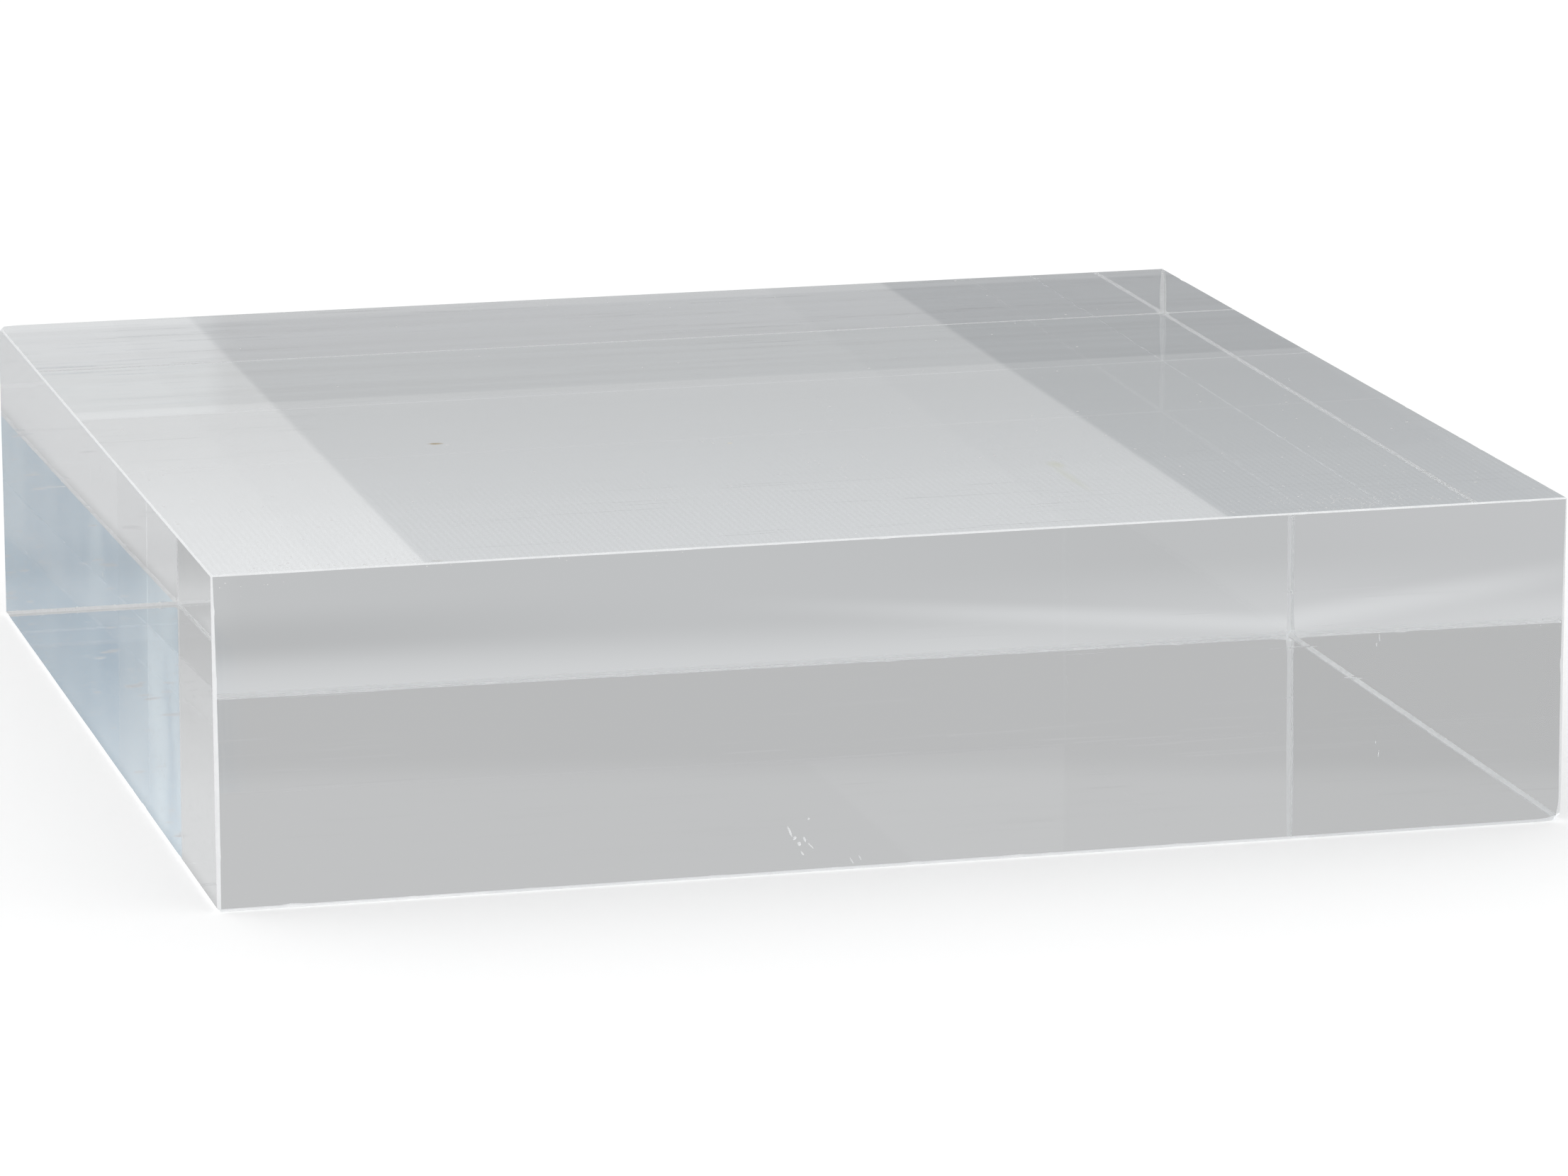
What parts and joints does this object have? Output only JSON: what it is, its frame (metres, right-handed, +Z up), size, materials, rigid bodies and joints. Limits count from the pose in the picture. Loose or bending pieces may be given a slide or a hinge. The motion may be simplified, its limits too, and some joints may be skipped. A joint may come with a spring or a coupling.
{
  "type": "acrylic display block",
  "caption": "Solid clear acrylic block, square in plan and low, with polished faces, used as a plinth or riser that lifts and shows an object.",
  "frame": {"origin": "centre of the underside, on the surface that the block lies on", "axes": "+Z up through the thickness; X and Y parallel to the four equal sides, +Y towards the back"},
  "size_m": [0.2032, 0.2032, 0.0493],
  "materials": {
    "clear_acrylic": "polished"
  },
  "bodies": {
    "root": {"acrylic_block": "clear_acrylic"}
  },
  "joints": []
}
